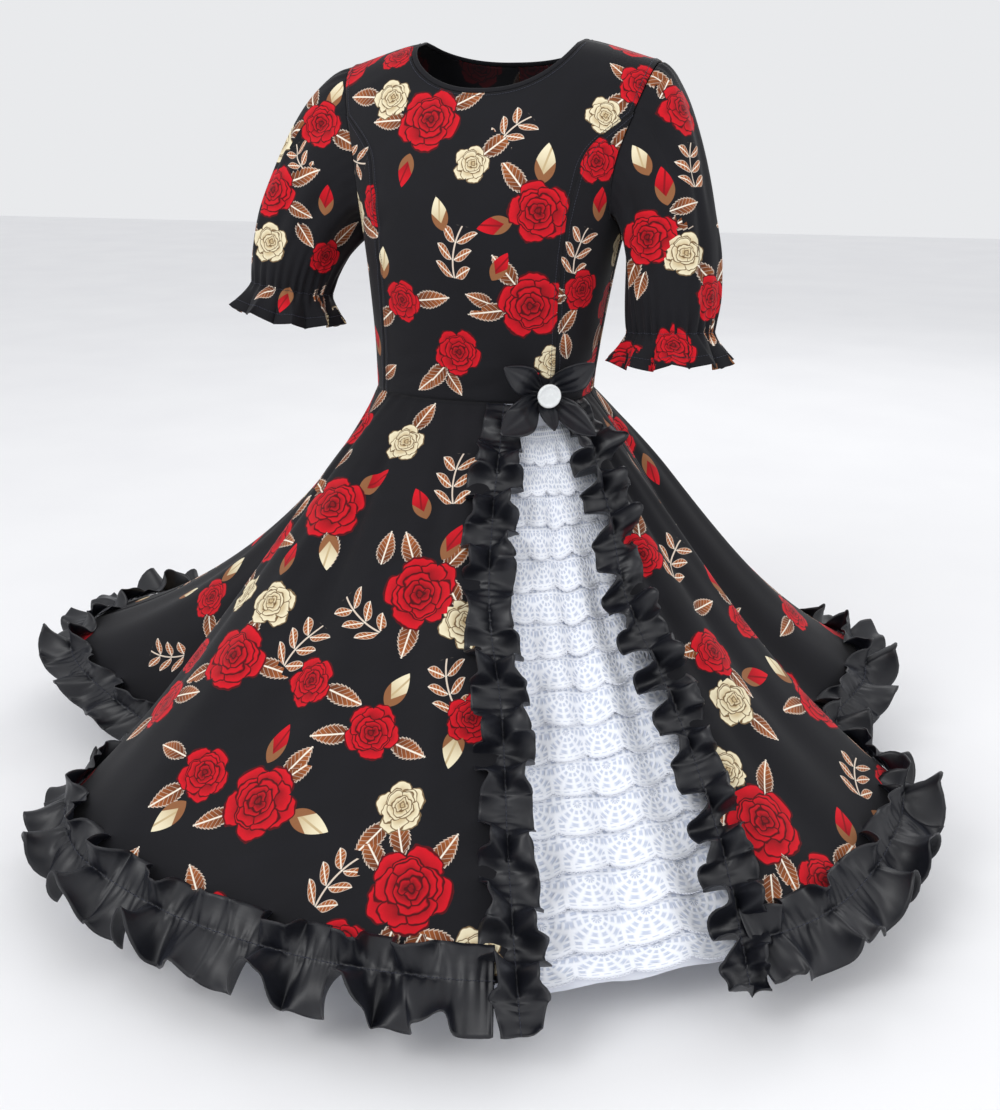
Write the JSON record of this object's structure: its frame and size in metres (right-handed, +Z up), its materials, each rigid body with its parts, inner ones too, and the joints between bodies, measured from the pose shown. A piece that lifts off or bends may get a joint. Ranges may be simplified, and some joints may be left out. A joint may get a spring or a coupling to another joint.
{
  "type": "cueca dress",
  "caption": "Folk-dance dress with puff sleeves, a fitted bodice and a flared, front-slit skirt with gathered ruffles over a tiered lace underskirt, kept in its worn shape.",
  "frame": {"origin": "between the two points where the neckline meets the shoulder seams, at their height, which is where the dress hangs from the wearer's shoulders", "axes": "+Z up, the front faces -Y, the wearer's left is +X"},
  "size_m": [1.2461, 1.2224, 0.9119],
  "materials": {
    "print_cloth": "matte woven cloth, black with a red rose print",
    "ruffle_cloth": "plain black cloth with a soft satin sheen",
    "under_cloth": "plain white lining cloth",
    "lace": "white lace with scalloped edges",
    "button": "glossy off-white"
  },
  "bodies": {
    "root": {"bodice_front": "print_cloth", "bodice_side_front_right": "print_cloth", "bodice_side_front_left": "print_cloth", "bodice_back_right": "print_cloth", "bodice_back_left": "print_cloth", "neck_binding": "print_cloth", "sleeve_right": "print_cloth", "sleeve_left": "print_cloth", "skirt_front_right": "print_cloth", "skirt_front_left": "print_cloth", "skirt_back": "print_cloth", "ruffle_hem_front_right": "ruffle_cloth", "ruffle_hem_front_left": "ruffle_cloth", "ruffle_hem_back": "ruffle_cloth", "ruffle_slit_right": "ruffle_cloth", "ruffle_slit_left": "ruffle_cloth", "underskirt": "under_cloth", "lace_tier_01": "lace", "lace_tier_02": "lace", "lace_tier_03": "lace", "lace_tier_04": "lace", "lace_tier_05": "lace", "lace_tier_06": "lace", "lace_tier_07": "lace", "lace_tier_08": "lace", "lace_tier_09": "lace", "lace_tier_10": "lace", "lace_tier_11": "lace", "lace_tier_12": "lace", "lace_tier_13": "lace", "lace_tier_14": "lace", "lace_tier_15": "lace", "lace_tier_16": "lace", "flower_petal_1": "ruffle_cloth", "flower_petal_2": "ruffle_cloth", "flower_petal_3": "ruffle_cloth", "flower_petal_4": "ruffle_cloth", "flower_petal_5": "ruffle_cloth", "button": "button"}
  },
  "joints": []
}
